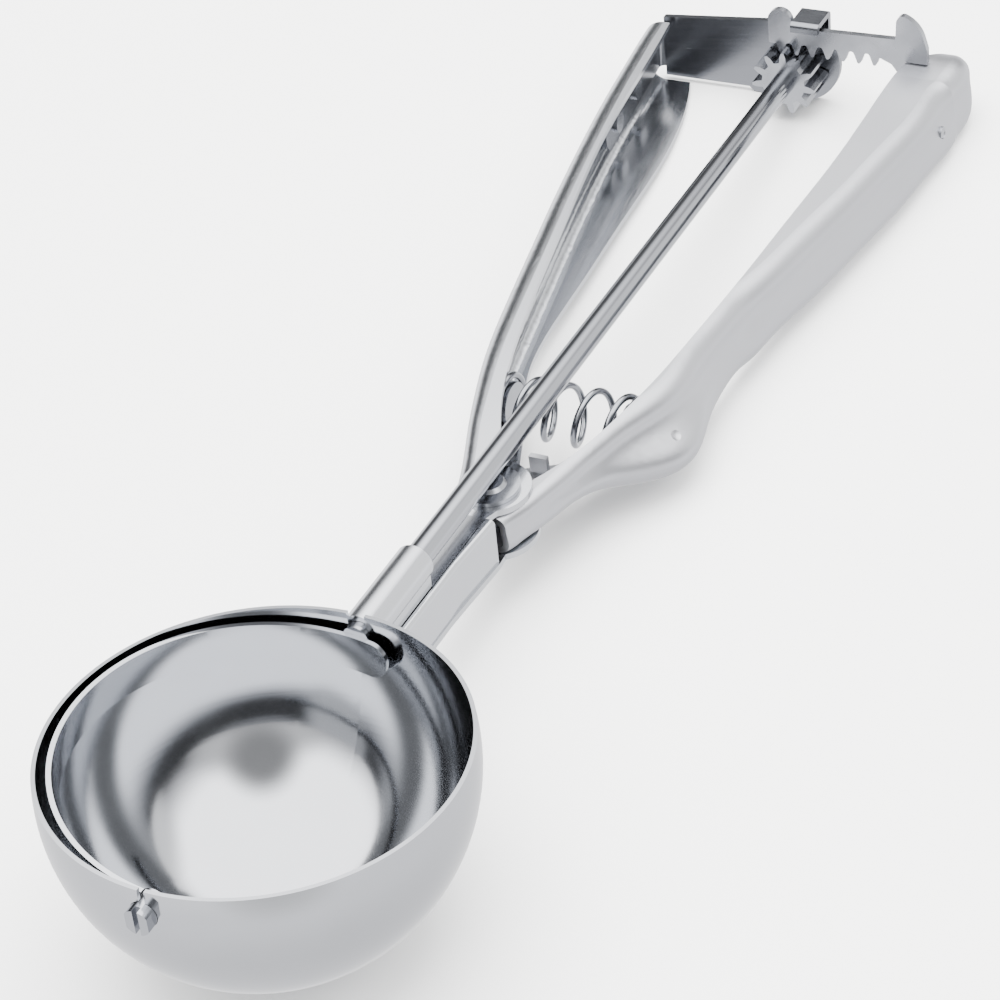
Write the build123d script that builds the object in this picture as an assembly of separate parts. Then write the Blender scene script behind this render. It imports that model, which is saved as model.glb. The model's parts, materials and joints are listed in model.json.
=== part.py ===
from build123d import *
import os
from math import asin, atan, atan2, cos, degrees, hypot, pi, radians, sin, sqrt, tan

os.makedirs("parts", exist_ok=True)

# Lever ice cream scoop, all in millimetres.
# The parts are drawn in the shaft's frame: the origin is the centre of the spherical bowl,
# X runs along the shaft from the bowl to the handle ends, the fixed handle is on +Y,
# the lever on -Y, and Z is up, out of the bowl's mouth.

# Bowl
BOWL_RIM_RADIUS = 29.8
BOWL_RIM_Z = 3.75
BOWL_WALL = 0.6
BOWL_R = hypot(BOWL_RIM_RADIUS, BOWL_RIM_Z)
REAR_SLOT_WIDTH = 2.8
FRONT_SLOT_WIDTH = 1.0
WELD_GAP = 0.02

# Shaft
SHAFT_R = 2.0
RUNNING_GAP = 0.06
FIXED_GAP = 0.01
BORE_R = SHAFT_R + RUNNING_GAP
SHAFT_END_X = 208.2

# Blade, a strip of even width curved like the bowl, with round ends, that turns with the shaft.
# Its curve has its centre a little behind the bowl's and towards the fixed handle.
BLADE_R = 27.95
BLADE_CENTRE_X = 0.6
BLADE_CENTRE_Y = 0.5
BLADE_WALL = 0.7
BLADE_TOP_Z = 0.6
BLADE_LOW_Z = -4.9
BLADE_END_Y = -5.5
BLADE_SLOPE_DEG = 5.7
STUD_TIP_X = -31.8
STUD_FLAT_HALF = 1.65
STUD_SLOT_WIDTH = 0.8
STUD_SLOT_DEPTH = 1.0

# Handle plane: it passes through the pivot and climbs slightly towards the handle ends
PIVOT_X = 72.5
PIVOT_Z = -10.15
TILT = 4.1
HALF_HEIGHT = 6.4
SHEET = 1.0
FLANGE_REACH = -9.0

# Neck between the bowl and the pivot
NECK_X0 = 26.0
NECK_X1 = 65.2
NECK_TOP_Z = -3.9
NECK_LOW_Z = -12.5
NECK_WEB_Y = 4.5
NECK_RADIUS = 2.5
STRIP_EDGE = ((50.0, -3.55), (64.5, -4.25))
SEAM_Y = -2.3
SEAM_END_X = 64.8
COVER_SEAM_Y = -2.45
COVER_SHEET = 0.7
COVER_RADIUS = 0.8
# (x, outer face of the cover's web)
COVER_STATIONS = ((NECK_X0, -3.35), (54.0, -3.35), (NECK_X1, -3.95))
SLEEVE_R = 2.95
SLEEVE_END_X = 47.3
SLEEVE_RIB_HALF = 2.3

# Pivot
PIVOT_R = 1.8
FRAME_EAR_R = 6.2
FRAME_LOW_EAR_R = 6.9
LEVER_EAR_R = 4.0
WASHER_UPPER_R = 4.75
WASHER_LOWER_R = 4.2
WASHER_THICK = 0.7
WASHER_GAP = 0.04
RIVET_HEAD_R = 2.7
RIVET_HEAD_HEIGHT = 0.55
FRAME_EAR_LOW = -2.4
WASHER_LOW = FRAME_EAR_LOW - WASHER_THICK - WASHER_GAP

# Fixed handle, stations along X:
# (x, outer face of the web, lower face above the handle plane, corner radius)
FIXED_STATIONS = (
    (65.2, 4.8, -2.4, 2.5),
    (68.5, 5.2, -2.4, 2.5),
    (72.6, 6.1, -2.4, 2.5),
    (77.0, 7.4, -2.4, 2.5),
    (81.3, 8.9, -3.1, 2.5),
    (86.0, 10.6, -4.6, 2.5),
    (92.0, 12.7, -6.0, 2.9),
    (98.0, 14.6, -6.4, 3.2),
    (104.0, 16.3, -6.4, 3.5),
    (111.0, 17.9, -6.4, 3.8),
    (118.0, 19.2, -6.4, 4.0),
    (126.0, 20.5, -6.4, 4.0),
    (135.0, 21.9, -6.4, 4.0),
    (145.0, 23.5, -6.4, 4.0),
    (155.0, 24.95, -6.4, 4.0),
    (166.0, 26.4, -6.4, 4.0),
    (178.0, 27.75, -6.4, 4.0),
    (191.0, 28.85, -6.4, 4.0),
    (204.0, 29.7, -6.4, 4.0),
)
FIXED_TOP_EDGE = (
    (83.3, 3.5),
    (91.6, 7.1),
    (101.0, 10.1),
    (114.5, 13.1),
    (134.0, 16.5),
    (152.0, 19.5),
    (168.0, 21.7),
    (190.0, 23.3),
    (206.0, 24.7),
)
FIXED_LOW_EDGE = (
    (85.0, 2.1),
    (92.0, 5.0),
    (105.0, 10.0),
    (112.6, 13.2),
    (120.0, 14.7),
    (137.6, 15.3),
    (160.0, 15.8),
    (175.0, 16.0),
    (190.0, 17.4),
    (206.0, 21.8),
)

# Lever, stations along X:
# (x, web at the top, web at the bottom, lower face, upper face, corner radius)
LEVER_STATIONS = (
    (67.0, -4.7, -5.0, -1.2, 5.2, 1.8),
    (70.0, -5.9, -6.3, -1.2, 5.2, 1.8),
    (72.5, -6.9, -7.3, -1.2, 5.2, 1.8),
    (75.0, -7.7, -8.3, -1.2, 5.2, 1.8),
    (79.0, -8.9, -9.6, -1.25, 5.2, 1.9),
    (83.0, -10.0, -11.0, -1.7, 5.28, 2.0),
    (87.0, -11.3, -12.9, -2.8, 5.6, 2.2),
    (91.0, -12.8, -16.0, -4.3, 6.0, 2.4),
    (95.4, -14.7, -19.4, -5.7, 6.3, 2.7),
    (100.4, -16.8, -21.5, -6.4, 6.4, 3.0),
    (105.5, -18.0, -21.3, -6.4, 6.4, 3.1),
    (111.5, -18.2, -20.2, -6.4, 6.4, 3.2),
    (118.0, -18.4, -19.8, -6.4, 6.4, 3.2),
    (125.0, -19.3, -20.4, -6.4, 6.4, 3.2),
    (134.0, -21.2, -22.3, -6.4, 6.4, 3.2),
    (145.0, -23.6, -24.8, -6.4, 6.4, 3.2),
    (156.0, -25.9, -27.1, -6.4, 6.4, 3.2),
    (167.0, -28.0, -29.2, -6.4, 6.4, 3.2),
    (178.0, -29.9, -31.0, -6.4, 6.4, 3.2),
    (188.0, -31.3, -32.2, -6.4, 6.4, 3.2),
    (197.0, -32.2, -32.9, -6.4, 6.4, 3.2),
    (203.5, -32.6, -33.2, -6.35, 6.35, 3.2),
    (207.5, -31.8, -32.2, -5.3, 5.3, 2.9),
    (209.8, -30.3, -30.6, -3.7, 3.7, 2.2),
    (211.0, -28.9, -29.0, -1.9, 1.9, 1.3),
)
LEVER_DOME_STATIONS = 5
LEVER_TOP_EDGE = (
    (83.7, -8.2),
    (93.2, -11.7),
    (103.3, -13.9),
    (115.4, -15.4),
    (135.8, -17.5),
    (150.4, -18.7),
    (168.6, -20.2),
    (185.0, -20.8),
    (196.0, -21.2),
    (202.0, -22.4),
    (206.0, -25.2),
    (212.0, -27.6),
)
LEVER_LOW_EDGE = (
    (83.0, 4.0),
    (87.0, 2.0),
    (92.0, -2.2),
    (97.0, -6.0),
    (104.0, -10.0),
    (112.0, -13.5),
    (125.0, -16.5),
    (150.0, -18.7),
    (175.0, -20.4),
    (196.0, -21.2),
    (202.0, -22.4),
    (206.0, -25.2),
    (212.0, -27.6),
)
STOP_TAB_X = 86.5
STOP_TAB_Y = (-2.5, 0.5)

# Return spring across the handles, below the shaft
SPRING_X = 99.5
SPRING_COIL_R = 4.6
SPRING_WIRE_R = 0.55
SPRING_LEVER_Y = -13.0
SPRING_FIXED_Y = 11.3
SPRING_TURNS = 4.0
SEAT_R = 4.8
SEAT_THICK = 0.6
SEAT_POST_R = 3.6
SEAT_POST_LENGTH = 2.4
SEAT_SHANK_R = 1.5
SEAT_RIVET_END_Y = 15.15
# Outer face of the lever's heel behind the spring, and the way it faces
HEEL_Y = -18.92
HEEL_FACES = Vector(-0.235, -0.654, 0.719)
DIMPLE_R = 1.75
DIMPLE_DEPTH = 0.25

# Pinion and rack
TEETH = 11
TOOTH_PITCH = 2.95
PITCH_R = TEETH * TOOTH_PITCH / (2 * pi)
PINION_OUTER_R = 6.0
PINION_ROOT_R = 4.05
PINION_X0 = 197.6
PINION_X1 = 205.0
TOOTH_HALF_PITCH = 0.56
PINION_TIP_HALF = 0.26
PINION_ROOT_HALF = 0.66
RACK_X0 = 201.0
RACK_THICK = 1.3
RACK_TIP_Z = 4.25
RACK_FLANK_LOW_Z = 4.6
RACK_FLANK_TOP_Z = 6.0
RACK_ROOT_Z = 6.45
RACK_TIP_HALF = 0.36
RACK_ROOT_HALF = 0.88
RACK_TOP_LEFT_Z = 9.5
RACK_TOP_RIGHT_Z = 10.0
RACK_TEETH = 7
FOOT_X = 187.0
RACK_RIVET_X = 191.3
RACK_RIVET_R = 1.1
RACK_RIVET_HEAD_R = 1.9
RACK_RIVET_OUTER_Y = -32.2
RACK_RIVET_INNER_Y = -28.9
RACK_RIVET_HEAD = 0.6

# End bracket
BRACKET_X = 205.3
BRACKET_THICK = 1.2
BRACKET_LEG_X = 174.0
BRACKET_LEG_HALF = 3.4
BRACKET_LEG_SLOPE = 0.08
BRACKET_BEND_R = 2.2
BRACKET_BEND_Y = 26.25
CROSSBAR_LOW_EDGE = ((BRACKET_BEND_Y, -5.9), (9.7, -5.9), (8.7, -6.8), (-2.6, -6.8))
CROSSBAR_NOSE = (-8.1, 0.6)
CROSSBAR_TOP_EDGE = ((-2.6, 8.45), (4.0, 8.2), (BRACKET_BEND_Y, 6.0))
GUIDE_Y0 = -6.1
GUIDE_Y1 = -0.9
GUIDE_TOP_Z = 11.3
GUIDE_LIP_Z = 9.5
GUIDE_FRONT_X = 199.5
END_WASHER_R = 3.3
END_WASHER_GAP = 0.3
END_WASHER_THICK = 0.8
BRACKET_RIVETS_X = (180.0, 191.0)
BRACKET_RIVET_R = 1.1
BRACKET_RIVET_HEAD_R = 1.9
BRACKET_RIVET_HEAD = 0.6
BRACKET_RIVET_TIP = 1.35


def mid_z(x):
    """Height of the handle plane above the shaft's axis at a station."""
    return PIVOT_Z + (x - PIVOT_X) * tan(radians(TILT))


def level(x, offset):
    """Height of a surface that lies a set distance off the handle plane."""
    return mid_z(x) + offset / cos(radians(TILT))


def in_handle_plane(x=PIVOT_X, y=0.0):
    """Frame with its Z square to the handle plane, above a point of that plane."""
    return Location((x, y, mid_z(x)), (0, -TILT, 0))


def along_x(radius, x0, x1, y=0.0, z=0.0):
    """Round bar parallel to the shaft."""
    bar = Cylinder(radius, x1 - x0, align=(Align.CENTER, Align.CENTER, Align.MIN))
    return Pos(x0, y, z) * Rot(0, 90, 0) * bar


def along_y(radius, y0, y1, x, z):
    """Round bar across the handles."""
    bar = Cylinder(radius, y1 - y0, align=(Align.CENTER, Align.CENTER, Align.MIN))
    return Pos(x, y0, z) * Rot(-90, 0, 0) * bar


def block(x0, x1, y0, y1, z0, z1):
    """Rectangular block between two corners."""
    box = Box(x1 - x0, y1 - y0, z1 - z0, align=(Align.MIN, Align.MIN, Align.MIN))
    return Pos(x0, y0, z0) * box


def sheet_wire(x, open_y, web_top, web_low, z_low, z_high, radius):
    """Section of a folded channel: straight flanges, round corners and a curved web."""
    side = 1 if web_low > open_y else -1

    def fold(inset):
        """Edges of one face of the sheet, from the upper flange round to the lower."""
        r = radius - inset
        top_y = web_top - side * radius
        low_y = web_low - side * radius
        top_z = z_high - radius
        low_z = z_low + radius
        diagonal = r * sqrt(0.5)
        drop = (top_z - low_z) * 0.4
        tip_top = Vector(x, open_y, z_high - inset)
        top_start = Vector(x, top_y, top_z + r)
        top_end = Vector(x, top_y + side * r, top_z)
        low_start = Vector(x, low_y + side * r, low_z)
        low_end = Vector(x, low_y, low_z - r)
        tip_low = Vector(x, open_y, z_low + inset)
        top_middle = Vector(x, top_y + side * diagonal, top_z + diagonal)
        low_middle = Vector(x, low_y + side * diagonal, low_z - diagonal)
        top_pull = Vector(x, top_y + side * r, top_z - drop)
        low_pull = Vector(x, low_y + side * r, low_z + drop)
        return [
            Edge.make_line(tip_top, top_start),
            Edge.make_three_point_arc(top_start, top_middle, top_end),
            Edge.make_bezier(top_end, top_pull, low_pull, low_start),
            Edge.make_three_point_arc(low_start, low_middle, low_end),
            Edge.make_line(low_end, tip_low),
        ]

    low_tip = Edge.make_line((x, open_y, z_low), (x, open_y, z_low + SHEET))
    top_tip = Edge.make_line((x, open_y, z_high - SHEET), (x, open_y, z_high))
    return Wire(fold(0) + [low_tip] + fold(SHEET)[::-1] + [top_tip])


def plan_region(edges, z0, z1):
    """Block with the given outline in plan."""
    return extrude(Face(Wire(edges)), amount=z1 - z0, dir=(0, 0, 1)).moved(Pos(0, 0, z0))


def polyline_edges(points):
    """Straight edges through a run of points."""
    return [Edge.make_line(a, b) for a, b in zip(points, points[1:])]


def ear_point(radius, angle):
    """Point on a circle round the pivot, in plan."""
    return (PIVOT_X + radius * cos(radians(angle)), radius * sin(radians(angle)))


# ---- bowl and blade ----


def make_bowl():
    """Deep bowl from a sphere, with a keyhole for the shaft behind and one for the stud in front."""
    bowl = Sphere(BOWL_R) - Sphere(BOWL_R - BOWL_WALL)
    reach = BOWL_R + 5
    bowl -= block(-reach, reach, -reach, reach, BOWL_RIM_Z, reach)
    bowl -= along_x(BORE_R, 20, reach)
    bowl -= along_x(BORE_R, -reach, -20)
    bowl -= block(20, reach, -REAR_SLOT_WIDTH / 2, REAR_SLOT_WIDTH / 2, 0, reach)
    bowl -= block(-reach, -20, -FRONT_SLOT_WIDTH / 2, FRONT_SLOT_WIDTH / 2, 0, reach)
    return bowl


def blade_ball(radius):
    """Ball about the centre of the blade's curve."""
    return Pos(BLADE_CENTRE_X, BLADE_CENTRE_Y, 0) * Sphere(radius)


def make_blade():
    """Curved scraper blade, an even strip that starts just past the shaft at both ends."""
    shell = blade_ball(BLADE_R) - blade_ball(BLADE_R - BLADE_WALL)
    reach = BOWL_R + 5
    middle_z = (BLADE_TOP_Z + BLADE_LOW_Z) / 2
    half = (BLADE_TOP_Z - BLADE_LOW_Z) / 2
    end_y = BLADE_END_Y + half
    strip = block(-reach, reach, end_y, reach, BLADE_LOW_Z, BLADE_TOP_Z)
    strip += along_x(half, -reach, reach, end_y, middle_z)
    return shell & Rot(BLADE_SLOPE_DEG, 0, 0) * strip


def make_shaft():
    """Straight drive shaft, its end cut to the blade's curve and welded to the blade."""
    shaft = along_x(SHAFT_R, BLADE_R - 2, SHAFT_END_X) - blade_ball(BLADE_R + FIXED_GAP)
    return chamfer(shaft.edges().sort_by(Axis.X)[-1], 0.3)


def make_blade_front_stud():
    """Slotted stud with two flats, welded to the blade and turning in the front of the bowl."""
    stud = along_x(SHAFT_R, STUD_TIP_X, 2 - BLADE_R) - blade_ball(BLADE_R + FIXED_GAP)
    half = STUD_FLAT_HALF
    flats_to = -BOWL_R - 0.2
    stud -= block(STUD_TIP_X - 1, flats_to, half, 5, -5, 5)
    stud -= block(STUD_TIP_X - 1, flats_to, -5, -half, -5, 5)
    slot = STUD_SLOT_WIDTH / 2
    stud -= block(STUD_TIP_X - 1, STUD_TIP_X + STUD_SLOT_DEPTH, -slot, slot, -5, 5)
    return stud


# ---- frame pressing: neck, ears and fixed handle in one sheet ----


def fixed_channel():
    """Folded channel of the fixed handle, its flanges still at full width."""
    wires = []
    for x, web, low, radius in FIXED_STATIONS:
        wires.append(
            sheet_wire(x, FLANGE_REACH, web, web, level(x, low), level(x, HALF_HEIGHT), radius)
        )
    return Solid.make_loft(wires)


def neck_levels(x):
    """Heights of the neck's lower and upper faces."""
    share = (x - NECK_X0) / (NECK_X1 - NECK_X0)
    low = NECK_LOW_Z + share * (level(NECK_X1, FRAME_EAR_LOW) - NECK_LOW_Z)
    high = NECK_TOP_Z + share * (level(NECK_X1, HALF_HEIGHT) - NECK_TOP_Z)
    return low, high


def neck_channel():
    """Folded channel of the neck, its flanges still at full width."""
    wires = []
    for x, web in ((NECK_X0, NECK_WEB_Y), (NECK_X1, FIXED_STATIONS[0][1])):
        low, high = neck_levels(x)
        wires.append(sheet_wire(x, FLANGE_REACH, web, web, low, high, NECK_RADIUS))
    return Solid.make_loft(wires, ruled=True)


def fixed_top_plan():
    """Plan of the upper flange: seam, ear round the pivot, then the handle's free edge."""
    start = ear_point(FRAME_EAR_R, 213)
    end = ear_point(FRAME_EAR_R, 18)
    far_x = FIXED_TOP_EDGE[-1][0]
    edges = polyline_edges(((0, SEAM_Y), (SEAM_END_X, SEAM_Y), start))
    edges.append(Edge.make_three_point_arc(start, ear_point(FRAME_EAR_R, 290), end))
    edges.append(Edge.make_spline([Vector(*p) for p in (end,) + FIXED_TOP_EDGE]))
    edges += polyline_edges((FIXED_TOP_EDGE[-1], (far_x, 50), (0, 50), (0, SEAM_Y)))
    return edges


def fixed_low_plan():
    """Plan of the lower flange, which is wider and runs on under the neck cover."""
    start = ear_point(FRAME_LOW_EAR_R, 218)
    end = ear_point(FRAME_LOW_EAR_R, 360)
    far_x = FIXED_LOW_EDGE[-1][0]
    strip_y = STRIP_EDGE[0][1]
    edges = polyline_edges(((0, strip_y),) + STRIP_EDGE + (start,))
    edges.append(Edge.make_three_point_arc(start, ear_point(FRAME_LOW_EAR_R, 289), end))
    edges.append(Edge.make_spline([Vector(*p) for p in (end,) + FIXED_LOW_EDGE]))
    edges += polyline_edges((FIXED_LOW_EDGE[-1], (far_x, 50), (0, 50), (0, strip_y)))
    return edges


def make_frame_pressing():
    """Neck, ears and fixed handle folded from one sheet, with the sleeve that carries the shaft."""
    frame = fixed_channel() + neck_channel()
    upper = in_handle_plane() * block(NECK_X1 - PIVOT_X, 150, -60, 60, 0.6, 40)
    upper += block(0, NECK_X1, -60, 60, -8.9, 40)
    top = plan_region(fixed_top_plan(), -30, 20)
    low = plan_region(fixed_low_plan(), -30, 20)
    frame = frame & ((top & upper) + (low - upper))
    rib = block(NECK_X0, SLEEVE_END_X, -SLEEVE_RIB_HALF, SLEEVE_RIB_HALF, NECK_TOP_Z - 0.8, 0)
    frame += rib + along_x(SLEEVE_R, NECK_X0, SLEEVE_END_X)
    frame -= along_x(BORE_R, 0, SLEEVE_END_X + 1)
    frame -= Sphere(BOWL_R + WELD_GAP)
    frame -= in_handle_plane() * Cylinder(PIVOT_R + FIXED_GAP, 40)
    for x in BRACKET_RIVETS_X:
        frame -= across_leg(x, BRACKET_RIVET_R + FIXED_GAP, 0, 5)
    frame -= along_y(SEAT_SHANK_R + FIXED_GAP, 5, 30, SPRING_X, mid_z(SPRING_X))
    return frame


def leg_face_y(x):
    """Outer face of the bracket's leg at a station."""
    bend_x = BRACKET_X + BRACKET_THICK - BRACKET_BEND_R
    return BRACKET_BEND_Y + BRACKET_BEND_R - (bend_x - x) * BRACKET_LEG_SLOPE


def across_leg(x, radius, y0, y1):
    """Round bar square to the bracket's leg, between two distances out from its outer face."""
    bar = Cylinder(radius, y1 - y0, align=(Align.CENTER, Align.CENTER, Align.MIN))
    turn = Rot(0, 0, degrees(atan(BRACKET_LEG_SLOPE))) * Rot(-90, 0, 0)
    return Pos(x, leg_face_y(x), mid_z(x)) * turn * Pos(0, 0, y0) * bar


def angle_wire(x, web, low, high):
    """Section of the neck cover: an upper flange turned down into a web."""
    r_out = COVER_RADIUS
    r_in = COVER_RADIUS - COVER_SHEET
    web_in = web + COVER_SHEET
    low_in = high - COVER_SHEET
    centre_y = web + r_out
    centre_z = high - r_out
    half = sqrt(0.5)

    def at(y, z):
        return Vector(x, y, z)

    outer_mid = at(centre_y - r_out * half, centre_z + r_out * half)
    inner_mid = at(centre_y - r_in * half, centre_z + r_in * half)
    return Wire(
        [
            Edge.make_line(at(COVER_SEAM_Y, high), at(centre_y, high)),
            Edge.make_three_point_arc(at(centre_y, high), outer_mid, at(web, centre_z)),
            Edge.make_line(at(web, centre_z), at(web, low)),
            Edge.make_line(at(web, low), at(web_in, low)),
            Edge.make_line(at(web_in, low), at(web_in, centre_z)),
            Edge.make_three_point_arc(at(web_in, centre_z), inner_mid, at(centre_y, low_in)),
            Edge.make_line(at(centre_y, low_in), at(COVER_SEAM_Y, low_in)),
            Edge.make_line(at(COVER_SEAM_Y, low_in), at(COVER_SEAM_Y, high)),
        ]
    )


def make_neck_cover():
    """Angle-shaped cover that closes the neck and stands on the frame's lower flange."""
    wires = []
    for x, web in COVER_STATIONS:
        low, high = neck_levels(x)
        wires.append(angle_wire(x, web, low + SHEET + WELD_GAP, high))
    return Solid.make_loft(wires, ruled=True) - Sphere(BOWL_R + WELD_GAP)


# ---- lever pressing ----


def lever_channel():
    """Folded channel of the lever, its flanges still at full width, closed at the domed end."""
    wires = []
    for x, web_top, web_low, low, high, radius in LEVER_STATIONS:
        wires.append(
            sheet_wire(x, -FLANGE_REACH, web_top, web_low, level(x, low), level(x, high), radius)
        )
    body = Solid.make_loft(wires[: 1 - LEVER_DOME_STATIONS])
    dome = Solid.make_loft(wires[-LEVER_DOME_STATIONS:])
    x, web_top, web_low, low, high, radius = LEVER_STATIONS[-1]
    low_z = level(x, low + radius)
    high_z = level(x, high - radius)
    cap = block(x - SHEET, x, web_low + SHEET / 2, -FLANGE_REACH, low_z, high_z)
    return body + dome + cap


def lever_plan(edge, start_angle, end_angle):
    """Plan of one of the lever's flanges: ear round the pivot, then the free edge."""
    start = ear_point(LEVER_EAR_R, start_angle)
    middle = ear_point(LEVER_EAR_R, (start_angle + end_angle) / 2)
    end = ear_point(LEVER_EAR_R, end_angle)
    far_x = edge[-1][0]
    edges = [Edge.make_line((50, start[1]), start)]
    edges.append(Edge.make_three_point_arc(start, middle, end))
    edges.append(Edge.make_spline([Vector(*p) for p in (end,) + edge]))
    edges += polyline_edges((edge[-1], (far_x, -50), (50, -50), (50, start[1])))
    return edges


def heel_point():
    """Point on the outside of the heel behind the spring's seat."""
    return Vector(SPRING_X, HEEL_Y, mid_z(SPRING_X))


def make_lever_pressing():
    """Channel-shaped lever with ears at the pivot, a heel over the spring and a domed end."""
    lever = lever_channel()
    top = plan_region(lever_plan(LEVER_TOP_EDGE, 180, -60), -30, 30)
    low = plan_region(lever_plan(LEVER_LOW_EDGE, 180, 55), -30, 30)
    split = in_handle_plane() * block(-60, 200, -60, 60, 1.2, 40)
    keep = (top & split) + (low - split)
    lever = lever & keep
    x = STOP_TAB_X - PIVOT_X
    lever += in_handle_plane() * block(x, x + 1, *STOP_TAB_Y, -2.4, 1.4)
    lever -= in_handle_plane() * Cylinder(PIVOT_R + RUNNING_GAP, 40)
    dimple = heel_point() + HEEL_FACES * (DIMPLE_R - DIMPLE_DEPTH)
    lever -= Pos(*dimple) * Sphere(DIMPLE_R)
    lever -= rack_rivet_hole()
    return lever


# ---- pivot ----


def make_pivot_rivet():
    """Rivet through both pairs of ears, with a flat head above and below the washers."""
    top = HALF_HEIGHT + WASHER_THICK + WASHER_GAP + 0.02
    low = WASHER_LOW - 0.02
    up = (Align.CENTER, Align.CENTER, Align.MIN)
    down = (Align.CENTER, Align.CENTER, Align.MAX)
    rivet = Pos(0, 0, low) * Cylinder(PIVOT_R, top - low, align=up)
    rivet += Pos(0, 0, top) * Cone(RIVET_HEAD_R, RIVET_HEAD_R - 0.5, RIVET_HEAD_HEIGHT, align=up)
    rivet += Pos(0, 0, low) * Cone(RIVET_HEAD_R - 0.5, RIVET_HEAD_R, RIVET_HEAD_HEIGHT, align=down)
    return in_handle_plane() * rivet


def make_washer(radius, base):
    """Plain washer under a head of the pivot rivet."""
    up = (Align.CENTER, Align.CENTER, Align.MIN)
    disc = Cylinder(radius, WASHER_THICK, align=up)
    disc -= Cylinder(PIVOT_R + FIXED_GAP, WASHER_THICK, align=up)
    return in_handle_plane() * Pos(0, 0, base) * disc


# ---- spring and its seats ----


def make_spring():
    """Compression spring with a closed coil at each end, its axis across the handles."""
    steps = 16
    turns = SPRING_TURNS
    y0 = SPRING_LEVER_Y + SPRING_WIRE_R
    y1 = SPRING_FIXED_Y - SPRING_WIRE_R
    closed = 1.0
    closed_rise = 2.2 * SPRING_WIRE_R
    open_rise = y1 - y0 - 2 * closed_rise
    points = []
    total = turns + 2 * closed
    count = int(total * steps)
    for i in range(count + 1):
        turn = total * i / count
        if turn < closed:
            y = y0 + closed_rise * turn / closed
        elif turn > total - closed:
            y = y1 - closed_rise * (total - turn) / closed
        else:
            y = y0 + closed_rise + open_rise * (turn - closed) / turns
        angle = 2 * pi * turn
        x = SPRING_X + SPRING_COIL_R * cos(angle)
        z = mid_z(SPRING_X) + SPRING_COIL_R * sin(angle)
        points.append(Vector(x, y, z))
    path = Edge.make_spline(points)
    section = Plane(origin=path @ 0, z_dir=path % 0) * Circle(SPRING_WIRE_R)
    return sweep(section, path=path)


def seat_body(coil_y, side):
    """Disc that carries an end coil, with a post inside the coil."""
    z = mid_z(SPRING_X)
    back_y = coil_y + side * (SEAT_THICK + 0.03)
    disc_y = sorted((coil_y + side * 0.03, back_y))
    post_y = sorted((coil_y - side * SEAT_POST_LENGTH, back_y))
    disc = along_y(SEAT_R, *disc_y, SPRING_X, z)
    return disc + along_y(SEAT_POST_R, *post_y, SPRING_X, z)


def make_fixed_seat():
    """Spring seat riveted through the fixed handle's web."""
    shank = along_y(SEAT_SHANK_R, SPRING_FIXED_Y, SEAT_RIVET_END_Y, SPRING_X, mid_z(SPRING_X))
    return seat_body(SPRING_FIXED_Y, 1) + shank


def make_lever_seat():
    """Spring seat welded to the inside of the heel, its shank cut to the heel's slope."""
    shank = along_y(SEAT_SHANK_R, HEEL_Y - 2, SPRING_LEVER_Y, SPRING_X, mid_z(SPRING_X))
    inside = heel_point() - HEEL_FACES * (SHEET + WELD_GAP)
    beyond = Box(12, 12, 12, align=(Align.CENTER, Align.CENTER, Align.MIN))
    shank -= Plane(origin=inside, z_dir=HEEL_FACES).location * beyond
    return seat_body(SPRING_LEVER_Y, -1) + shank


# ---- rack and pinion ----


def make_pinion():
    """Long pinion fixed on the shaft, its teeth one upright in the middle at rest."""
    points = []
    for i in range(TEETH):
        turn = pi / 2 + 2 * pi * i / TEETH
        for radius, half in (
            (PINION_ROOT_R, -PINION_ROOT_HALF),
            (PITCH_R, -TOOTH_HALF_PITCH),
            (PINION_OUTER_R, -PINION_TIP_HALF),
            (PINION_OUTER_R, PINION_TIP_HALF),
            (PITCH_R, TOOTH_HALF_PITCH),
            (PINION_ROOT_R, PINION_ROOT_HALF),
        ):
            y = radius * cos(turn) - half * sin(turn)
            z = radius * sin(turn) + half * cos(turn)
            points.append(Vector(PINION_X0, y, z))
    face = Face(Wire(polyline_edges(points + points[:1])))
    pinion = extrude(face, amount=PINION_X1 - PINION_X0, dir=(1, 0, 0))
    return pinion - along_x(SHAFT_R + FIXED_GAP, PINION_X0 - 1, PINION_X1 + 1)


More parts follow.
